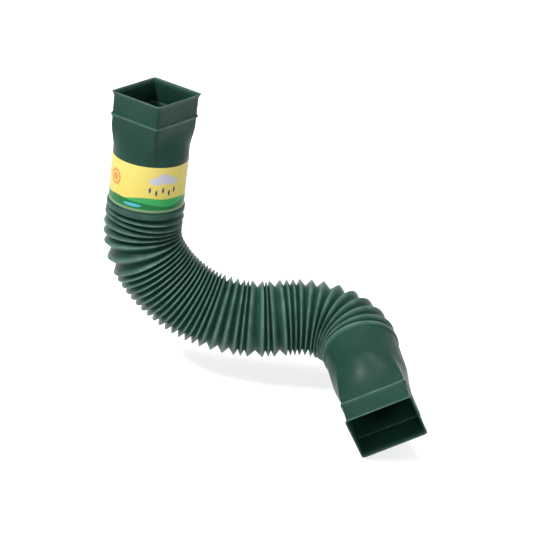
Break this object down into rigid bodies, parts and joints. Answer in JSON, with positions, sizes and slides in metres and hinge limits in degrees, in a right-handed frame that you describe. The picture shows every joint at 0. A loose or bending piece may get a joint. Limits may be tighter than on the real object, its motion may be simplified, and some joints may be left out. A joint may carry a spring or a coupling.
{
  "type": "flexible downspout extension",
  "caption": "Flexible moulded gutter pipe with rectangular socket ends, round necks, a bent accordion stretch and a printed sleeve; carries rain water away from a downspout.",
  "frame": {"origin": "middle of the inlet socket's mouth, where the downspout enters", "axes": "+Z along the inlet's axis, out of its mouth and up the downspout; X across the mouth's short side, Y along its long side; the pipe hangs down and runs out towards +X"},
  "size_m": [0.4932, 0.2454, 0.3951],
  "materials": {
    "spout_plastic": "satin dark green moulded plastic",
    "label_print": "satin printed film, yellow with green"
  },
  "bodies": {
    "root": {"flexible_spout": "spout_plastic", "label_wrap": "label_print"}
  },
  "joints": []
}
